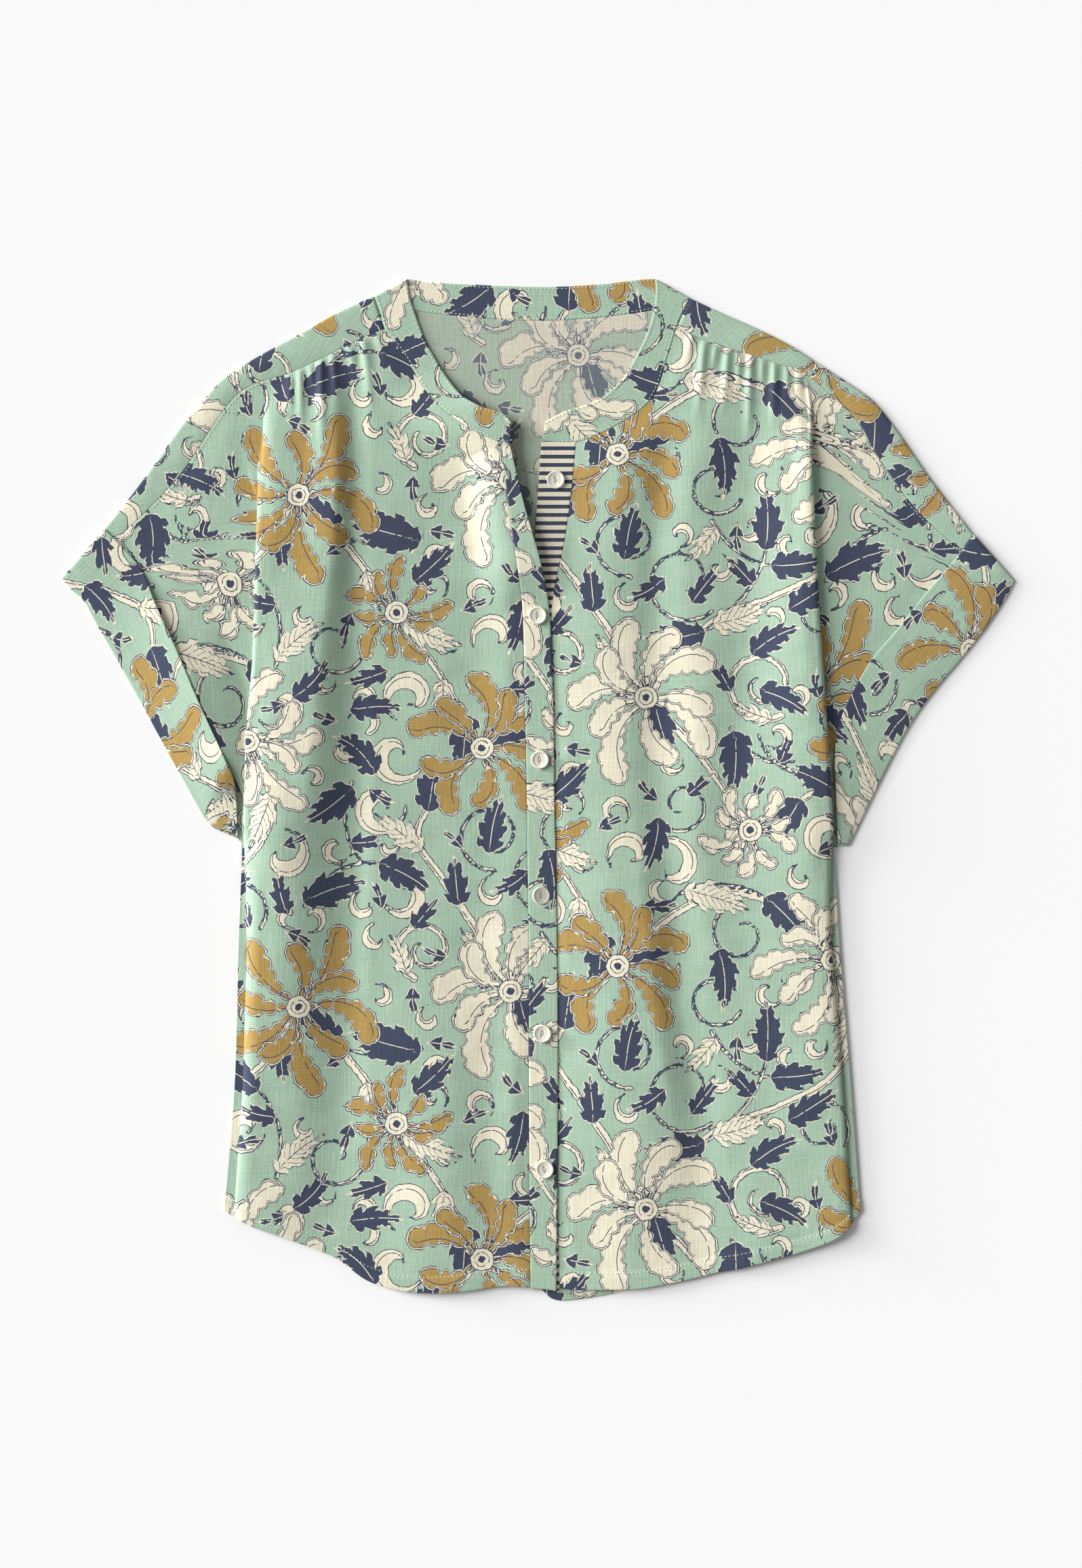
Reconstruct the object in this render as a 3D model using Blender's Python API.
"""A short-sleeved, collarless blouse that buttons down the front, laid flat with its front up.

The blouse is modelled as it is sewn: a back, a yoke that runs over both shoulders down to the cuffs, two
fronts with the sleeves cut in one, a neckband, two front bands, two turned-up cuffs and six buttons.
Each cut piece is a wall of cloth, made from a middle surface that is offset to both sides.
Right and left are the wearer's, so the right front lies at -X. +Y points to the neck, +Z up.
All sizes in this file are millimetres, and go through MM when a mesh is made.
"""

from collections import namedtuple

import bpy
import numpy as np

MM = 0.001

# Driving sizes of the cloth and of how the layers lie on each other.
WALL = 1.0  # thickness of a cloth wall
SEAM_GAP = 0.3  # space between two pieces that are sewn together
BACK_LEVEL = WALL / 2  # middle of the back, which lies on the surface
FRONT_LEVEL = BACK_LEVEL + WALL + 0.4  # middle of a front where it lies on the back
BAND_LEVEL = FRONT_LEVEL + WALL + SEAM_GAP  # middle of the top band, and of a cuff's edge over its sleeve
TUCK_LEVEL = 3.4  # middle of the layer turned under at the body's side fold
FOLD_LEVEL = 5.8  # middle of the layer on top at the body's side fold
TUCK_DEPTH = 17.0  # how far the cloth is turned under at the side fold
SLEEVE_IN_CUFF = 5.0  # how far the sleeve's front runs under the cuff's edge
BUTTON_DIAMETER = 11.5
BUTTON_THICKNESS = 2.4
GATHER_HEIGHT = 0.9  # half the height of the gathers at the yoke seam
PUFF = 1.4  # how far a front stands up between its edges

Fold = namedtuple("Fold", "height left right fade_in top fade_out bottom line")

# The neckband's seam and its free edge, from the shoulder fold down to the front end.
# Band: seam x, seam y, free edge x, free edge y
BAND_RIGHT = [
    (-104.0, 312.5, -83.5, 324.0),  # shoulder fold
    (-100.5, 303.0, -82.0, 314.5),
    (-97.0, 291.5, -78.5, 302.5),  # end of the yoke seam
    (-84.5, 274.0, -70.0, 281.0),
    (-67.0, 247.0, -52.5, 253.5),
    (-44.5, 229.0, -38.0, 243.0),
    (-23.0, 219.0, -24.0, 238.5),  # top of the front band
    (-17.0, 219.5, -17.5, 233.0),  # front end
]
BAND_LEFT = [
    (96.0, 311.5, 74.5, 323.5),
    (92.0, 303.0, 74.0, 308.5),
    (88.0, 293.5, 70.0, 292.0),
    (81.5, 272.5, 61.5, 273.5),
    (72.0, 247.5, 51.5, 258.0),
    (50.5, 231.0, 37.0, 246.5),
    (24.0, 220.0, 17.0, 239.5),
    (2.5, 220.5, 4.5, 233.0),
]
# The same two edges across the back of the neck, from right shoulder to left shoulder.
BAND_BACK = [
    (-104.0, 312.5, -83.5, 324.0),
    (-87.5, 306.0, -74.0, 322.0),
    (-69.0, 302.0, -62.0, 321.0),
    (-45.0, 299.5, -43.0, 320.0),
    (-20.0, 297.5, -20.0, 319.0),
    (8.0, 297.0, 7.0, 318.5),
    (33.0, 298.5, 30.0, 319.5),
    (56.0, 301.0, 48.0, 321.0),
    (78.0, 305.0, 63.5, 323.0),
    (96.0, 311.5, 74.5, 323.5),
]
NECK_STATIONS = 5  # rows of a front table that lie on the neckband's seam

# A front's centre edge below the neck, and its outer edge along the cuff and down the side.
# The centre edge starts at the neckband's seam: its first rows are the last rows of the table above.
CENTRE_RIGHT = [(-23.0, 219.0), (-19.0, 182.5), (-14.0, 145.5), (-10.0, 112.5), (-8.5, 53.5), (-7.0, -15.5),
                (-7.0, -37.0), (-6.0, -101.5), (-6.0, -187.5), (-5.0, -316.0)]
CENTRE_LEFT = [(24.0, 220.0), (20.5, 184.5), (16.5, 156.5), (8.5, 113.5), (9.0, 53.5), (7.5, -15.5),
               (7.5, -37.0), (7.5, -101.5), (9.0, -187.5), (13.5, -316.5)]
OUTER_RIGHT = [(-267.5, 157.5), (-259.5, 149.5), (-253.5, 141.5), (-247.0, 130.0), (-241.0, 115.0),
               (-234.0, 99.0), (-225.5, 81.5), (-216.5, 60.0), (-203.0, 28.5), (-184.5, -13.0),
               (-187.5, -37.5), (-190.0, -101.5), (-192.5, -187.5), (-199.0, -267.5)]
OUTER_LEFT = [(268.5, 151.0), (262.0, 143.0), (254.5, 134.0), (244.0, 122.0), (234.0, 109.0),
              (222.5, 95.5), (212.5, 82.5), (201.0, 65.5), (190.0, 38.0), (183.5, -13.0),
              (187.0, -38.0), (191.0, -101.5), (198.0, -187.5), (204.0, -267.5)]
UNDERARM_STATION = 10

# The yoke's front seam and the hem of each front, from the centre outwards.
YOKE_SEAM_RIGHT = [(-97.0, 291.5), (-108.0, 287.5), (-131.0, 276.0), (-156.5, 264.0), (-191.5, 249.5),
                   (-228.0, 198.0), (-267.5, 157.5)]
YOKE_SEAM_LEFT = [(88.0, 293.5), (109.0, 282.5), (131.0, 276.5), (155.0, 268.5), (169.5, 263.5),
                  (201.0, 235.0), (213.5, 214.0), (239.0, 178.0), (268.5, 151.0)]
HEM_RIGHT = [(-5.0, -316.0), (-22.5, -315.0), (-44.0, -318.0), (-65.5, -319.5), (-87.0, -318.0),
             (-108.5, -311.5), (-130.0, -296.5), (-162.0, -284.0), (-183.5, -276.5), (-199.0, -267.5)]
HEM_LEFT = [(13.5, -316.5), (30.0, -317.5), (60.0, -317.0), (74.0, -315.0), (97.0, -310.5), (115.5, -306.0),
            (131.5, -303.0), (171.0, -292.0), (192.5, -282.5), (204.0, -267.5)]

# The outline along the shoulder and down the top of each sleeve, from the neckband to the cuff.
TOP_RIGHT = [(-104.0, 313.0), (-127.0, 302.5), (-146.5, 291.5), (-166.0, 281.0), (-185.5, 270.0),
             (-201.0, 259.5), (-211.0, 248.5), (-220.0, 238.0), (-229.0, 227.0), (-244.0, 205.5),
             (-260.0, 184.0), (-275.0, 165.5)]
TOP_LEFT = [(96.0, 311.5), (117.5, 301.5), (139.0, 292.0), (160.5, 281.0), (182.0, 267.0), (203.5, 253.0),
            (214.0, 244.5), (225.0, 231.0), (235.5, 216.0), (246.5, 200.0), (257.0, 186.0), (276.0, 161.5)]

# Cuffs, from the top of the sleeve to the underarm. Cuff: inner x, inner y, outer x, outer y
CUFF_RIGHT = [
    (-275.0, 165.5, -302.0, 134.0),
    (-267.5, 157.5, -297.0, 127.0),
    (-257.0, 146.5, -288.5, 119.5),
    (-249.5, 135.5, -281.0, 106.0),
    (-242.0, 116.5, -271.0, 88.5),
    (-230.0, 91.0, -257.5, 64.5),
    (-214.0, 54.0, -238.0, 29.0),
    (-198.5, 20.0, -217.0, -9.5),
    (-192.0, 2.5, -210.5, -20.0),
    (-190.5, -31.5, -205.5, -25.0),
]
CUFF_LEFT = [
    (276.0, 161.5, 302.0, 132.5),
    (268.5, 151.0, 297.5, 123.5),
    (261.0, 142.0, 289.0, 110.0),
    (253.5, 133.5, 280.5, 98.0),
    (240.5, 118.0, 268.0, 82.5),
    (227.5, 101.5, 254.0, 66.0),
    (207.5, 76.5, 238.0, 44.5),
    (189.5, 37.0, 224.0, 19.5),
    (188.5, -7.0, 209.5, -9.5),
    (190.0, -36.0, 196.5, -36.0),
]
CUFF_YOKE_STATION = 3  # where the yoke's back seam meets the cuff

# The back: the seam to the yoke, and the hem, from right to left.
BACK_SEAM = [(-249.5, 135.5), (-212.5, 173.5), (-161.0, 194.5), (-100.5, 201.0), (0.0, 202.5),
             (101.5, 201.0), (161.5, 194.5), (213.5, 172.0), (253.5, 133.5)]
BACK_HEM = [(-199.0, -267.5), (-162.0, -283.5), (-130.0, -296.0), (-108.5, -310.5), (-87.0, -317.5),
            (-44.0, -317.0), (-22.5, -314.5), (-1.0, -316.0), (9.5, -323.5), (23.0, -323.8), (47.0, -320.0),
            (60.0, -317.0), (97.0, -310.0), (131.5, -302.5), (171.0, -291.5), (204.0, -267.5)]
SIDE_RIGHT = [(-188.0, -38.0), (-190.0, -101.5), (-192.5, -187.5), (-199.0, -267.5)]
SIDE_LEFT = [(187.5, -40.0), (191.0, -101.5), (198.0, -187.5), (204.0, -267.5)]

# The free edge of each front band, with the y of its own stations.
TOP_BAND_EDGE = [(-18.0, 218.5), (-9.5, 182.5), (1.0, 145.5), (7.0, 112.5), (9.5, 53.5), (10.5, -15.5),
                 (11.0, -37.0), (12.0, -101.5), (12.5, -187.5), (11.5, -318.0)]
STRIPED_BAND_EDGE = [(2.0, 220.0), (-0.5, 184.5), (-2.5, 156.5), (-4.0, 113.5), (-5.5, 53.5), (-6.0, -15.5),
                     (-6.0, -37.0), (-6.0, -101.5), (-6.0, -187.5), (-5.0, -317.5)]

# The body's fold over each sleeve: x at some heights, and how much of the fold is closed there.
# Side fold: y, x, closed
SIDE_FOLD_RIGHT = [(259.5, -171.5, 0.0), (218.0, -174.5, 0.0), (196.5, -176.0, 0.35), (143.0, -179.5, 1.0),
                   (79.5, -181.5, 1.0), (32.5, -186.0, 1.0), (1.5, -186.5, 1.0), (-26.0, -187.5, 0.85),
                   (-38.0, -186.0, 0.5), (-70.0, -185.0, 0.1), (-101.5, -184.5, 0.0), (-187.5, -187.0, 0.0),
                   (-280.0, -193.5, 0.0)]
SIDE_FOLD_LEFT = [(264.0, 168.5, 0.0), (242.5, 172.0, 0.3), (207.5, 174.0, 1.0), (175.5, 175.0, 1.0),
                  (138.0, 177.0, 1.0), (101.0, 179.0, 1.0), (51.0, 182.5, 1.0), (8.0, 185.5, 1.0),
                  (-26.0, 187.0, 0.85), (-38.0, 185.5, 0.5), (-70.0, 184.5, 0.1), (-101.5, 185.5, 0.0),
                  (-187.5, 192.5, 0.0), (-280.0, 198.5, 0.0)]

# Soft folds of each front. line: (y, x) from top to bottom. left and right are the fold's half widths.
FOLDS_RIGHT = {
    "pleat_ridge": Fold(3.6, 6.0, 13.0, 30, 279, 60, -330, [(279, -123), (242, -116), (200, -113.5), (0, -113),
                                                           (-145, -114), (-300, -117)]),
    "pleat_valley": Fold(-3.4, 9.0, 5.0, 30, 276, 190, -200, [(276, -130), (242, -125), (200, -122), (0, -126.5),
                                                             (-60, -134), (-145, -140), (-300, -143)]),
    "second_ridge": Fold(2.2, 6.0, 6.0, 30, 273, 120, -40, [(273, -137.5), (242, -133.5), (200, -135),
                                                           (0, -141), (-300, -150)]),
    "second_valley": Fold(-1.8, 6.5, 6.5, 25, 268, 120, 60, [(268, -150), (200, -151), (0, -156), (-300, -163)]),
    "side_ridge": Fold(1.6, 7.0, 7.0, 25, 263, 100, -20, [(263, -161), (200, -166), (0, -171), (-300, -178)]),
    "neck_drag": Fold(-1.3, 10.0, 10.0, 35, 225, 45, 130, [(225, -54), (182, -34), (135, -15)]),
    "hem_valley": Fold(-1.2, 12.0, 12.0, 90, -120, 20, -330, [(-120, -31), (-300, -31)]),
}
FOLDS_LEFT = {
    "neck_valley": Fold(-2.0, 8.0, 8.0, 25, 262, 90, 60, [(262, 76), (230, 68), (60, 66)]),
    "first_ridge": Fold(2.8, 13.0, 13.0, 40, 280, 150, -60, [(280, 112), (230, 90), (200, 87), (0, 86),
                                                            (-300, 92)]),
    "middle_valley": Fold(-2.2, 9.0, 9.0, 25, 275, 80, 110, [(275, 133), (230, 124), (0, 122), (-300, 128)]),
    "second_ridge": Fold(2.6, 14.0, 14.0, 40, 270, 160, -130, [(270, 152), (230, 148), (0, 149), (-300, 160)]),
    "lower_valley": Fold(-2.6, 12.0, 7.0, 90, 10, 80, -290, [(10, 59), (-71, 71), (-230, 86), (-300, 90)]),
    "lower_ridge": Fold(2.4, 9.0, 18.0, 80, -30, 70, -300, [(-30, 82), (-100, 92), (-230, 110), (-300, 114)]),
}
GUIDES_RIGHT = ["pleat_ridge", "pleat_valley", "second_ridge", "second_valley", "side_ridge"]
GUIDES_LEFT = ["first_ridge", "middle_valley", "second_ridge"]
COLUMNS_RIGHT = [8, 2, 2, 2, 2, 3]  # grid columns from the centre edge to each guide and to the side fold
COLUMNS_LEFT = [9, 4, 3, 4]
SLEEVE_COLUMNS = 6
ROWS_PER_STATION = 2

# Button centres, from the neck down: x, y. The first is on the striped band, the rest on the top band.
BUTTONS = [(11.0, 196.0), (-0.5, 110.0), (1.0, 18.5), (2.0, -67.5), (2.5, -155.0), (4.0, -241.0)]

# Finishes: linear base colour, roughness
PRINTED_COTTON = ("printed_cotton", (0.33, 0.46, 0.37), 0.85)
STRIPED_COTTON = ("striped_cotton", (0.30, 0.31, 0.36), 0.85)
PEARL_BUTTON = ("pearl_button", (0.72, 0.68, 0.58), 0.3)


def clear_scene():
    for thing in list(bpy.data.objects):
        bpy.data.objects.remove(thing)


def finish_material(name, colour, roughness):
    material = bpy.data.materials.get(name)
    if material:
        return material
    material = bpy.data.materials.new(name)
    material.use_nodes = True
    shader = material.node_tree.nodes["Principled BSDF"]
    shader.inputs["Base Color"].default_value = (*colour, 1.0)
    shader.inputs["Roughness"].default_value = roughness
    return material


def through(points, places):
    """A smooth curve through points, which lie at 0, 1, 2 and so on, read at places."""
    points = np.asarray(points, float)
    places = np.clip(np.asarray(places, float), 0, len(points) - 1)
    step = np.diff(points, axis=0)
    slope = np.vstack([step[:1], (step[:-1] + step[1:]) / 2, step[-1:]])
    first = np.minimum(places.astype(int), len(points) - 2)
    t = (places - first)[:, None]
    a, b = points[first], points[first + 1]
    m, n = slope[first], slope[first + 1]
    return ((2 * t**3 - 3 * t**2 + 1) * a + (t**3 - 2 * t**2 + t) * m
            + (3 * t**2 - 2 * t**3) * b + (t**3 - t**2) * n)


def lengths(path):
    """The distance along a path from its first point to each point."""
    return np.concatenate([[0], np.cumsum(np.linalg.norm(np.diff(path, axis=0), axis=1))])


def by_length(points, shares):
    """Points of a smooth curve at the given shares of its length."""
    fine = through(points, np.linspace(0, len(points) - 1, 12 * len(points)))
    run = lengths(fine)
    return np.column_stack([np.interp(np.asarray(shares) * run[-1], run, fine[:, k]) for k in range(2)])


def ease(value):
    value = np.clip(value, 0, 1)
    return value * value * (3 - 2 * value)


def fold_height(folds, x, y):
    """The summed height of the soft folds over a point."""
    height = np.zeros(np.broadcast(x, y).shape)
    for fold in folds.values():
        heights = np.array(fold.line, float)[::-1]
        off = x - np.interp(y, heights[:, 0], heights[:, 1])
        width = np.where(off < 0, fold.left, fold.right)
        inside = ease((fold.top - y) / fold.fade_in) * ease((y - fold.bottom) / fold.fade_out)
        height = height + fold.height * np.exp(-(off / width) ** 2) * inside
    return height


def stacked(plan, height):
    """Plan points and their heights as one array of 3-D points."""
    plan = np.asarray(plan, float)
    return np.concatenate([plan, np.broadcast_to(height, plan.shape[:-1])[..., None]], axis=-1)


def cloth_wall(name, sheets, finish):
    """A closed wall of cloth round the middle surface that one or more grids of points make together."""
    points, quads, index = [], [], {}
    for sheet in sheets:
        number = np.empty(sheet.shape[:2], int)
        for place in np.ndindex(*sheet.shape[:2]):
            key = tuple(np.round(sheet[place], 3))
            if key not in index:
                index[key] = len(points)
                points.append(sheet[place])
            number[place] = index[key]
        quads += [
            (number[i, j], number[i, j + 1], number[i + 1, j + 1], number[i + 1, j])
            for i in range(number.shape[0] - 1)
            for j in range(number.shape[1] - 1)
        ]
    points = np.array(points)
    corners = points[np.array(quads)]
    facing = np.cross(corners[:, 2] - corners[:, 0], corners[:, 3] - corners[:, 1])
    normal = np.zeros_like(points)
    for corner in range(4):
        np.add.at(normal, np.array(quads)[:, corner], facing)
    normal /= np.linalg.norm(normal, axis=1)[:, None]
    count = len(points)
    walls = np.vstack([points + normal * WALL / 2, points - normal * WALL / 2])
    faces = [tuple(q) for q in quads] + [tuple(count + k for k in reversed(q)) for q in quads]
    used = {(q[k], q[(k + 1) % 4]) for q in quads for k in range(4)}
    faces += [(b, a, count + a, count + b) for a, b in used if (b, a) not in used]
    mesh = bpy.data.meshes.new(name)
    mesh.from_pydata((walls * MM).tolist(), [], faces)
    mesh.materials.append(finish_material(*finish))
    mesh.shade_smooth()
    thing = bpy.data.objects.new(name, mesh)
    bpy.context.scene.collection.objects.link(thing)
    return thing


def turn(near, far_level, near_level, out, steps=3):
    """Points of a half-round turn of the cloth between two levels, which swells out in the plan direction."""
    middle, radius = (near_level + far_level) / 2, (near_level - far_level) / 2
    angles = np.pi * np.arange(1, steps + 1) / (steps + 1)
    return [
        stacked(near + out * (abs(radius) * np.sin(angle)), middle + radius * np.cos(angle))
        for angle in angles
    ]


# A front


def station_rows(table):
    count = len(table)
    return through(table, np.linspace(0, count - 1, (count - 1) * ROWS_PER_STATION + 1))


def centre_edge(band, centre):
    """A front's inner edge: first the neckband's seam, then the seam to the front band."""
    seam = np.array(band)[:, :2]
    first = 2
    last = first + NECK_STATIONS - 1
    neck = through(seam, np.linspace(first, last, (NECK_STATIONS - 1) * ROWS_PER_STATION + 1))
    return np.vstack([neck, station_rows(centre)[1:]])


def row_path(inner, outer, seam, hem, share):
    """A fine path across a front: like the yoke seam at the top, straight, and like the hem at the bottom.
    It runs on past the outer edge, because the side fold can stand out over that edge."""
    u = np.linspace(0, 1, 161)[:, None]
    path = inner + (outer - inner) * u
    seam, hem = by_length(seam, u[:, 0]), by_length(hem, u[:, 0])
    path = path + ease(1 - share / 0.3) * (seam - (seam[0] + (seam[-1] - seam[0]) * u))
    path = path + ease((share - 0.72) / 0.28) * (hem - (hem[0] + (hem[-1] - hem[0]) * u))
    past = path[-1] - path[-2]
    return np.vstack([path, path[-1] + past * 20 / np.linalg.norm(past)])


def crossing(path, run, line):
    """Where a path meets a line given as x over y, as a length along the path."""
    line = np.array(line, float)[::-1]
    side = path[:, 0] - np.interp(path[:, 1], line[:, 0], line[:, 1])
    hit = np.flatnonzero(np.sign(side[:-1]) != np.sign(side[1:]))[0]
    part = side[hit] / (side[hit] - side[hit + 1])
    return run[hit] + part * (run[hit + 1] - run[hit])


def front_grid(band, centre, outer, seam, hem, side_fold, folds, guides, columns, centre_level):
    """The middle surface of a front: a row runs from the centre edge out to the side fold, is turned under
    there and back out again, and ends at the cuff or the side seam."""
    inner = centre_edge(band, centre)
    outer = station_rows(outer)
    rows = len(inner)
    neck_rows = (NECK_STATIONS - 1) * ROWS_PER_STATION
    underarm = UNDERARM_STATION * ROWS_PER_STATION
    fold_line = [(y, x) for y, x, closed in side_fold]
    closing = np.array(side_fold)[::-1]
    grid = []
    for row in range(rows):
        share = row / (rows - 1)
        path = row_path(inner[row], outer[row], np.array(seam), np.array(hem), share)
        run = lengths(path)
        end = run[-2]

        def at(length):
            return np.column_stack([np.interp(length, run, path[:, k]) for k in range(2)])

        marks = [0.0] + [crossing(path, run, folds[name].line) for name in guides]
        fold = crossing(path, run, fold_line)
        fold_y = at([fold])[0, 1]
        closed = float(np.interp(fold_y, closing[:, 0], closing[:, 2]))
        tuck = TUCK_DEPTH * ease(closed)
        top_radius = (FOLD_LEVEL - TUCK_LEVEL) / 2
        low_radius = (TUCK_LEVEL - FRONT_LEVEL) / 2
        top_end = fold - (WALL / 2 + top_radius) * closed
        marks.append(top_end)
        top = np.concatenate(
            [np.linspace(a, b, n + 1)[:-1] for a, b, n in zip(marks[:-1], marks[1:], columns)] + [[top_end]]
        )
        angles = np.pi * np.array([0.25, 0.5, 0.75])
        shut = np.concatenate([
            top_end + top_radius * np.sin(angles),
            [top_end - (tuck - top_radius) * 0.5],
            top_end - tuck - low_radius * np.sin(angles),
            [top_end - tuck + low_radius],
        ])
        shut_level = np.concatenate([
            (FOLD_LEVEL + TUCK_LEVEL) / 2 + top_radius * np.cos(angles),
            [TUCK_LEVEL],
            (TUCK_LEVEL + FRONT_LEVEL) / 2 + low_radius * np.cos(angles),
            [FRONT_LEVEL],
        ])
        room = min(2.0, (end - fold) / 12) if end > fold + 3 else 0.25
        open_ = top_end + room * np.arange(1, len(shut) + 1)
        middle = open_ + closed * (shut - open_)
        sleeve = np.linspace(middle[-1], end, SLEEVE_COLUMNS + 1)[1:]
        plan = at(np.concatenate([top, middle, sleeve]))

        from_fold = top_end - top
        level = FRONT_LEVEL + closed * (FOLD_LEVEL - FRONT_LEVEL) * ease(1 - (from_fold - tuck) / 38)
        body = plan[: len(top)]
        edge_room = ease(top / 30) * ease(share / 0.2) * ease((from_fold + 4) / 30)
        level = level + PUFF * edge_room * (0.35 + 0.65 * ease((1 - share) / 0.4))
        level = level + fold_height(folds, body[:, 0], body[:, 1]) * ease((top + 6) / 18)
        rise = (centre_level - FRONT_LEVEL) * ease(row / neck_rows)
        level = level + rise * ease(1 - top / 30)
        waves = np.where(np.arange(len(top)) % 2, GATHER_HEIGHT, -GATHER_HEIGHT * 0.4)
        gathered = ease(top / 9) * ease(from_fold / 18) * ease(1 - share / 0.24)
        level = level + (waves + 0.4) * gathered
        level = np.maximum(level, FRONT_LEVEL)
        level = np.where(top == 0, np.where(row >= neck_rows, centre_level, FRONT_LEVEL + rise), level)
        middle_level = FRONT_LEVEL + closed * (shut_level - FRONT_LEVEL)
        levels = np.concatenate([level, middle_level, np.full(len(sleeve), FRONT_LEVEL)])
        grid.append(stacked(plan, levels))
    grid = np.array(grid)
    # The sleeve's own stretch runs on under the cuff, but not where it starts at the top of the sleeve.
    outward = np.zeros((rows, 2))
    along = np.gradient(outer, axis=0)
    outward[:, 0], outward[:, 1] = along[:, 1], -along[:, 0]
    outward /= np.linalg.norm(outward, axis=1)[:, None]
    outward *= np.sign(outer[:1, 0] * outward[:, :1])
    reach = SLEEVE_IN_CUFF * ease(np.arange(rows) / 4) * ease((underarm - 3 - np.arange(rows)) / 4)
    grid[:, -1, :2] += outward * (reach - SEAM_GAP * (np.arange(rows) < underarm))[:, None]
    return grid


# The yoke


def shoulder_corner(band):
    """Where the neckband's seam meets the shoulder fold: the last point before the turn, and the way out."""
    seam, free = np.array(band[0][:2]), np.array(band[0][2:])
    line = (free - seam) / np.linalg.norm(free - seam)
    out = np.array([-line[1], line[0]]) * np.sign(line[0])
    return seam - out * (WALL / 2 + (FRONT_LEVEL - BACK_LEVEL) / 2), out


def shoulder_turn(seam_points, fold_line, back_points, band, cuff):
    """One wing of the yoke: from the front seam up to the fold, round it, and down the back to the seam."""
    shares = lengths(seam_points[:, :2]) / lengths(seam_points[:, :2])[-1]
    fold = by_length(fold_line, shares)
    along = np.gradient(fold, axis=0)
    out = np.column_stack([along[:, 1], -along[:, 0]])
    out /= np.linalg.norm(out, axis=1)[:, None]
    out *= np.sign(out[:, 1:])
    radius = (FRONT_LEVEL - BACK_LEVEL) / 2
    near = fold - out * (WALL / 2 + radius)
    near[0], out[0] = shoulder_corner(band)
    toward = near - seam_points
    seam = seam_points + toward / np.linalg.norm(toward, axis=1)[:, None] * SEAM_GAP
    rows = [stacked(seam, FRONT_LEVEL), stacked(near, FRONT_LEVEL)]
    rows += turn(near, BACK_LEVEL, FRONT_LEVEL, out)
    rows += [stacked(near + (back_points - near) * t, BACK_LEVEL) for t in np.linspace(0, 1, CUFF_YOKE_STATION + 1)]
    for station in range(1, CUFF_YOKE_STATION + 1):
        rows[station - CUFF_YOKE_STATION - 1][-1, :2] = cuff[station][:2]
    return np.array(rows)


def make_yoke(right_seam, left_seam):
    back = np.array(BACK_SEAM)
    shares = np.linspace(0, 1, 401)
    across = by_length(back, shares)[:, 0]
    right_foot = np.interp(BAND_RIGHT[0][0], across, shares)
    left_foot = np.interp(BAND_LEFT[0][0], across, shares)
    shares = lengths(right_seam) / lengths(right_seam)[-1]
    right_back = by_length(back, right_foot * (1 - shares))
    shares = lengths(left_seam) / lengths(left_seam)[-1]
    left_back = by_length(back, left_foot + (1 - left_foot) * shares)
    right_back[-1], left_back[-1] = back[0], back[-1]
    right = shoulder_turn(right_seam, TOP_RIGHT, right_back, BAND_RIGHT, CUFF_RIGHT)
    left = shoulder_turn(left_seam, TOP_LEFT, left_back, BAND_LEFT, CUFF_LEFT)
    seam = through(BAND_BACK, np.linspace(0, len(BAND_BACK) - 1, 2 * len(BAND_BACK) - 1))[:, :2]
    shares = (seam[:, 0] - seam[0, 0]) / (seam[-1, 0] - seam[0, 0])
    foot = by_length(back, right_foot + (left_foot - right_foot) * shares)
    seam[0], seam[-1] = right[-4, 0, :2], left[-4, 0, :2]
    foot[0], foot[-1] = right[-1, 0, :2], left[-1, 0, :2]
    nape = np.array([stacked(seam + (foot - seam) * t, BACK_LEVEL) for t in (0, 1 / 3, 2 / 3, 1)])
    return cloth_wall("yoke", [right[:, ::-1][::-1], left[::-1], nape[::-1]], PRINTED_COTTON)


# The other pieces


def make_back(seam_columns):
    """The back lies flat. Its rows run from one cuff or side to the other."""
    right = np.array([row[:2] for row in CUFF_RIGHT[CUFF_YOKE_STATION:]] + SIDE_RIGHT)
    left = np.array([row[:2] for row in CUFF_LEFT[CUFF_YOKE_STATION:]] + SIDE_LEFT)
    seam, hem = np.array(BACK_SEAM), np.array(BACK_HEM)
    shares = np.linspace(0, 1, seam_columns)
    top, bottom = by_length(seam, shares), by_length(hem, shares)
    rows = []
    for row in range(len(right)):
        share = row / (len(right) - 1)
        chord = right[row] + (left[row] - right[row]) * shares[:, None]
        chord += ease(1 - share / 0.5) * (top - (top[0] + (top[-1] - top[0]) * shares[:, None]))
        chord += ease((share - 0.7) / 0.3) * (bottom - (bottom[0] + (bottom[-1] - bottom[0]) * shares[:, None]))
        rows.append(chord)
    rows = np.array(rows)
    along = np.gradient(rows[0], axis=0)
    down = np.column_stack([along[:, 1], -along[:, 0]]) / np.linalg.norm(along, axis=1)[:, None]
    rows[0] += down * SEAM_GAP * 1.4
    return cloth_wall("back", [stacked(rows, BACK_LEVEL)[:, ::-1]], PRINTED_COTTON)


def band_rows(seam, free, level, across=3):
    """Rows across a band, from its seam to its free edge."""
    toward = free - seam
    seam = seam + toward / np.linalg.norm(toward, axis=1)[:, None] * SEAM_GAP
    return np.array([stacked(seam + (free - seam) * t, level) for t in np.linspace(0, 1, across)]).swapaxes(0, 1)


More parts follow.
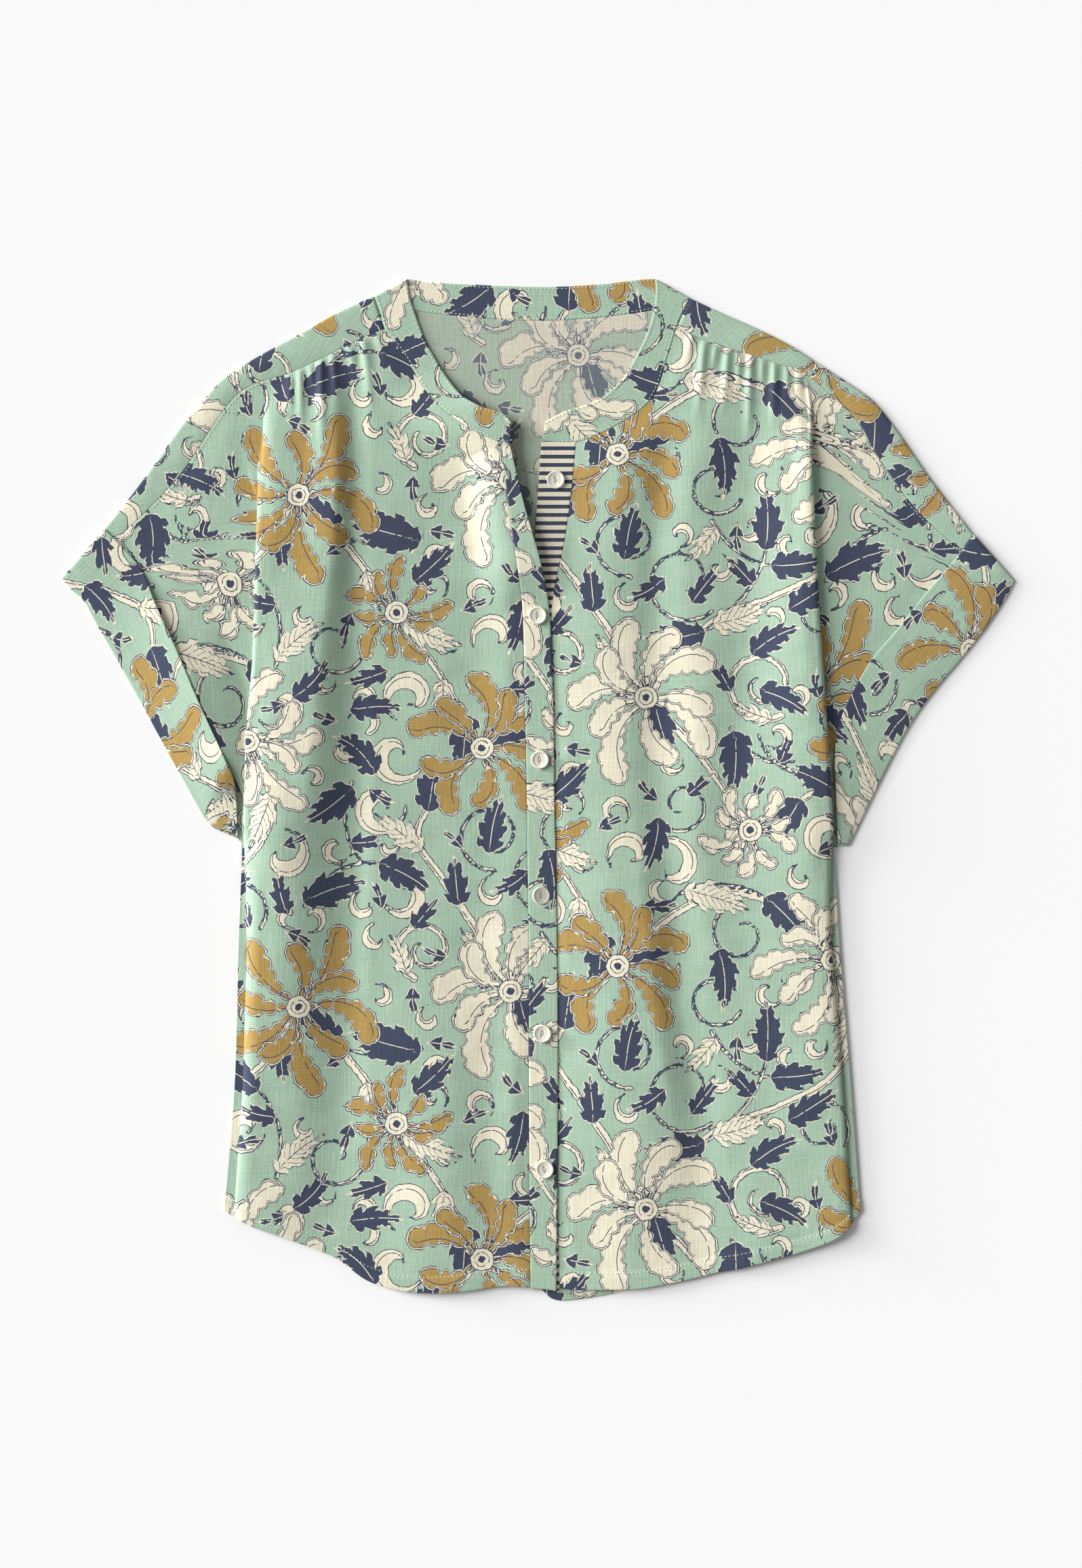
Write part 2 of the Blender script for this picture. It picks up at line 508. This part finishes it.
def make_neckband():
    """A strip that runs down both fronts and behind the neck, turned over at each shoulder."""
    neck_rows = (NECK_STATIONS - 1) * ROWS_PER_STATION
    places = np.concatenate([[0, 1], np.linspace(2, 6, neck_rows + 1), [7]])
    right, left = [
        band_rows(rows[:, :2], rows[:, 2:], FRONT_LEVEL)
        for rows in (through(BAND_RIGHT, places), through(BAND_LEFT, places))
    ]
    rise = np.concatenate([[0, 0], ease(np.arange(neck_rows + 1) / neck_rows), [1]])
    right[..., 2] += (BAND_LEVEL - FRONT_LEVEL) * rise[:, None]
    back_table = through(BAND_BACK, np.linspace(0, len(BAND_BACK) - 1, 2 * len(BAND_BACK) - 1))
    back = band_rows(back_table[:, :2], back_table[:, 2:], BACK_LEVEL)
    radius = (FRONT_LEVEL - BACK_LEVEL) / 2
    turns = []
    for side, table, end in ((right, BAND_RIGHT, 0), (left, BAND_LEFT, -1)):
        _, out = shoulder_corner(table)
        side[0, :, :2] -= out * (WALL / 2 + radius)
        back[end, :, :2] = side[0, :, :2]
        turns.append(np.array(turn(side[0, :, :2], BACK_LEVEL, FRONT_LEVEL, out)))
    strip = np.concatenate([right[::-1], turns[0], back, turns[1][::-1], left])
    return cloth_wall("neckband", [strip], PRINTED_COTTON)


def make_top_band(centre_rows):
    edge = station_rows(TOP_BAND_EDGE)
    grid = band_rows(centre_rows, edge, BAND_LEVEL)
    return cloth_wall("top_band", [grid[::-1]], PRINTED_COTTON)


def make_striped_band(centre_rows):
    edge = station_rows(STRIPED_BAND_EDGE)
    grid = band_rows(centre_rows, edge, FRONT_LEVEL)
    return cloth_wall("striped_band", [grid], STRIPED_COTTON)


def make_cuff(name, table, flip):
    """A flattened ring round the sleeve's end: its front half lies over the sleeve's edge."""
    table = np.array(table)
    inner, outer = table[:, :2].copy(), table[:, 2:].copy()
    toward = outer - inner
    inner += toward / np.linalg.norm(toward, axis=1)[:, None] * SEAM_GAP
    shares = np.array([0, 0.35, 0.75, 1.0])
    front_levels = np.array([BAND_LEVEL, BAND_LEVEL - 0.1, FRONT_LEVEL + 0.5, FRONT_LEVEL])
    plan = inner[:, None] + (outer - inner)[:, None] * shares[None, :, None]
    radius = (front_levels - BACK_LEVEL) / 2
    ends = []
    for end, beside in ((0, 1), (-1, -2)):
        out = plan[end] - plan[beside]
        out /= np.linalg.norm(out, axis=1)[:, None]
        plan[end] -= out * (WALL / 2 + radius[:, None])
        ends.append(out)
    front = stacked(plan, front_levels)
    back = stacked(plan, BACK_LEVEL)
    angles = np.pi * np.array([0.25, 0.5, 0.75])

    def round_end(end, out):
        return np.array([
            stacked(plan[end] + out * (radius * np.sin(a))[:, None],
                    (front_levels + BACK_LEVEL) / 2 + radius * np.cos(a))
            for a in angles
        ])

    ring = np.concatenate([front, round_end(-1, ends[1]), back[::-1], round_end(0, ends[0])[::-1], front[:1]])
    return cloth_wall(name, [ring[::-1] if flip else ring], PRINTED_COTTON)


def make_button(name, centre, level):
    """A turned disc with a rounded edge, a raised rim and a dished middle."""
    radius, height = BUTTON_DIAMETER / 2, BUTTON_THICKNESS
    profile = [
        (0.0, 0.0), (0.82 * radius, 0.0), (radius, 0.35 * height), (0.97 * radius, 0.75 * height),
        (0.86 * radius, height), (0.68 * radius, 0.93 * height), (0.58 * radius, 0.72 * height),
        (0.0, 0.66 * height),
    ]
    sides = 20
    angles = 2 * np.pi * np.arange(sides) / sides
    points = [(0.0, 0.0, 0.0)]
    for r, z in profile[1:-1]:
        points += [(r * np.cos(a), r * np.sin(a), z) for a in angles]
    points.append((0.0, 0.0, profile[-1][1]))
    rings = len(profile) - 2
    faces = [(0, 1 + (k + 1) % sides, 1 + k) for k in range(sides)]
    for ring in range(rings - 1):
        a, b = 1 + ring * sides, 1 + (ring + 1) * sides
        faces += [(a + k, a + (k + 1) % sides, b + (k + 1) % sides, b + k) for k in range(sides)]
    last = 1 + (rings - 1) * sides
    faces += [(last + k, last + (k + 1) % sides, len(points) - 1) for k in range(sides)]
    mesh = bpy.data.meshes.new(name)
    mesh.from_pydata((np.array(points) * MM).tolist(), [], faces)
    mesh.materials.append(finish_material(*PEARL_BUTTON))
    mesh.shade_smooth()
    thing = bpy.data.objects.new(name, mesh)
    thing.location = (centre[0] * MM, centre[1] * MM, level * MM)
    bpy.context.scene.collection.objects.link(thing)
    return thing


def main():
    clear_scene()
    right = front_grid(BAND_RIGHT, CENTRE_RIGHT, OUTER_RIGHT, YOKE_SEAM_RIGHT, HEM_RIGHT, SIDE_FOLD_RIGHT,
                       FOLDS_RIGHT, GUIDES_RIGHT, COLUMNS_RIGHT, BAND_LEVEL)
    left = front_grid(BAND_LEFT, CENTRE_LEFT, OUTER_LEFT, YOKE_SEAM_LEFT, HEM_LEFT, SIDE_FOLD_LEFT,
                      FOLDS_LEFT, GUIDES_LEFT, COLUMNS_LEFT, FRONT_LEVEL)
    cloth_wall("front_right", [right], PRINTED_COTTON)
    cloth_wall("front_left", [left[:, ::-1]], PRINTED_COTTON)
    make_yoke(right[0, :, :2], left[0, :, :2])
    make_back(21)
    make_neckband()
    first_band_row = (NECK_STATIONS - 1) * ROWS_PER_STATION
    make_top_band(right[first_band_row:, 0, :2])
    make_striped_band(left[first_band_row:, 0, :2])
    make_cuff("cuff_right", CUFF_RIGHT, True)
    make_cuff("cuff_left", CUFF_LEFT, False)
    for number, centre in enumerate(BUTTONS, 1):
        under = FRONT_LEVEL if number == 1 else BAND_LEVEL
        make_button(f"button_{number}", centre, under + WALL / 2 + SEAM_GAP)


main()
